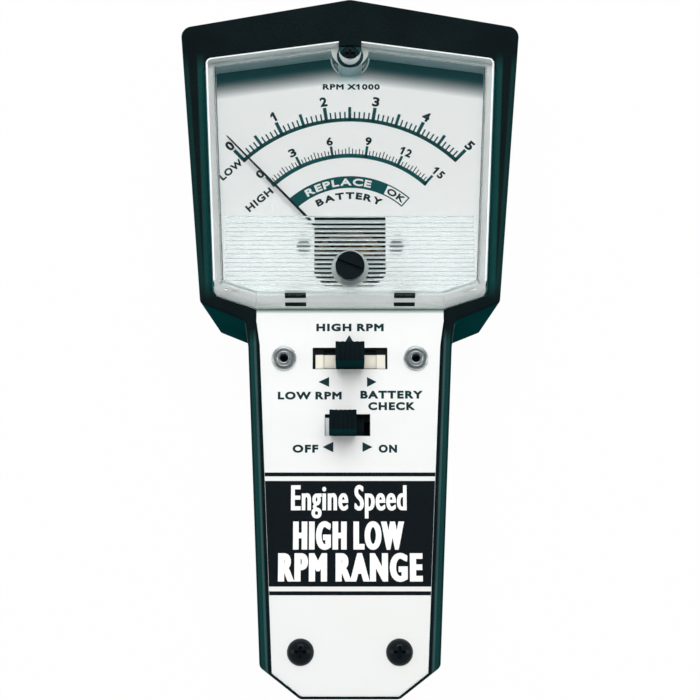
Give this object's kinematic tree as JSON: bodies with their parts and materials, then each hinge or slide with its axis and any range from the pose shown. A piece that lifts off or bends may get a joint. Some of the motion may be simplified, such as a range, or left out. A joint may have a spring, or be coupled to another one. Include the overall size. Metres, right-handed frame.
{
  "type": "tachometer",
  "caption": "Hand-held engine tachometer: a deep tapered case with a clear-fronted moving-coil meter at its head and slide switches for range and battery on its grip.",
  "frame": {"origin": "centre of the length and width of the tachometer, on the flat back it rests on", "axes": "+Y along the case from the grip to the head, +Z out of the face with the dial, +X to the right of a person who reads the dial"},
  "size_m": [0.0936, 0.1899, 0.0434],
  "materials": {
    "case": "moulded satin",
    "plate": "white enamel, printed",
    "black_screw": "black finish",
    "zinc": "zinc plated",
    "lens": "clear moulded",
    "base": "moulded",
    "dial": "matt white, printed",
    "steel": "turned",
    "brass": "turned",
    "alloy": "stamped",
    "magnet": "ground",
    "copper": "enamelled copper and spring bronze",
    "pointer": "matt dark",
    "laminate": "paper laminate",
    "knob": "moulded",
    "nylon": "natural nylon",
    "board": "glass laminate with tracks",
    "solder": "solder",
    "chip": "moulded",
    "resistor": "lacquered",
    "diode": "glass body",
    "film": "dipped",
    "sleeve": "sleeved",
    "trimmer": "moulded",
    "battery": "lacquered can",
    "foam": "open foam",
    "red_wire": "insulated",
    "black_wire": "insulated",
    "blue_wire": "insulated",
    "yellow_wire": "insulated",
    "green_wire": "insulated",
    "white_wire": "insulated"
  },
  "bodies": {
    "case": {"case_shell": "case", "front_plate": "plate", "plate_screws": "black_screw", "rivets": "zinc", "meter_lens": "lens", "meter_base": "base", "top_screw": "black_screw", "dial_plate": "dial", "dial_screws": "steel", "meter_terminals": "brass", "lower_bridge": "alloy", "upper_bridge": "alloy", "bridge_pillars": "brass", "yoke_ring": "steel", "core_magnet": "magnet", "core_bars": "brass", "lower_jewel": "brass", "upper_jewel": "brass", "lower_hairspring": "copper", "range_frame": "zinc", "range_base": "laminate", "range_terminals": "zinc", "power_frame": "zinc", "power_base": "laminate", "power_terminals": "zinc", "circuit_board": "board", "solder_joints": "solder", "logic_chips": "chip", "resistors": "resistor", "diodes": "diode", "film_capacitors": "film", "electrolytic_capacitors": "sleeve", "trimmers": "trimmer", "transistor": "chip", "pickup_rod": "magnet", "pickup_winding": "copper", "battery_can": "battery", "battery_studs": "zinc", "battery_clip": "base", "battery_foam": "foam", "red_lead": "red_wire", "black_lead": "black_wire", "left_meter_lead": "blue_wire", "right_meter_lead": "yellow_wire", "left_pickup_lead": "green_wire", "right_pickup_lead": "white_wire"},
    "pointer_arm": {"pointer": "pointer", "counterweights": "brass", "coil_former": "alloy", "coil_winding": "copper", "lower_staff": "steel", "upper_staff": "steel"},
    "zero_arm": {"zero_lever": "brass", "upper_hairspring": "copper"},
    "zero_adjuster": {"zero_screw": "black_screw"},
    "range_slider": {"range_knob": "knob", "range_carrier": "nylon", "range_contacts": "copper"},
    "power_slider": {"power_knob": "knob", "power_contacts": "copper"}
  },
  "joints": [
    {"name": "pointer_swing", "type": "hinge", "parent": "case", "child": "pointer_arm", "pos_m": [0, 0.0196, 0], "axis": [0, 0, 1], "range_deg": [-90, 3], "stiffness_Nm_per_rad": 0.0005},
    {"name": "zero_screw_turn", "type": "hinge", "parent": "case", "child": "zero_adjuster", "pos_m": [0, 0.0164, 0], "axis": [0, 0, 1], "range_deg": [-40, 40]},
    {"name": "zero_lever_turn", "type": "hinge", "parent": "case", "child": "zero_arm", "pos_m": [0, 0.0196, 0], "axis": [0, 0, 1], "range_deg": [-8, 8]},
    {"name": "range_slide", "type": "slide", "parent": "case", "child": "range_slider", "axis": [1, 0, 0], "range_m": [-0.0031, 0.0031]},
    {"name": "power_slide", "type": "slide", "parent": "case", "child": "power_slider", "axis": [1, 0, 0], "range_m": [0, 0.0032]}
  ],
  "couplings": [
    {"joint": "zero_lever_turn", "follows": "zero_screw_turn", "ratio": 0.2}
  ]
}
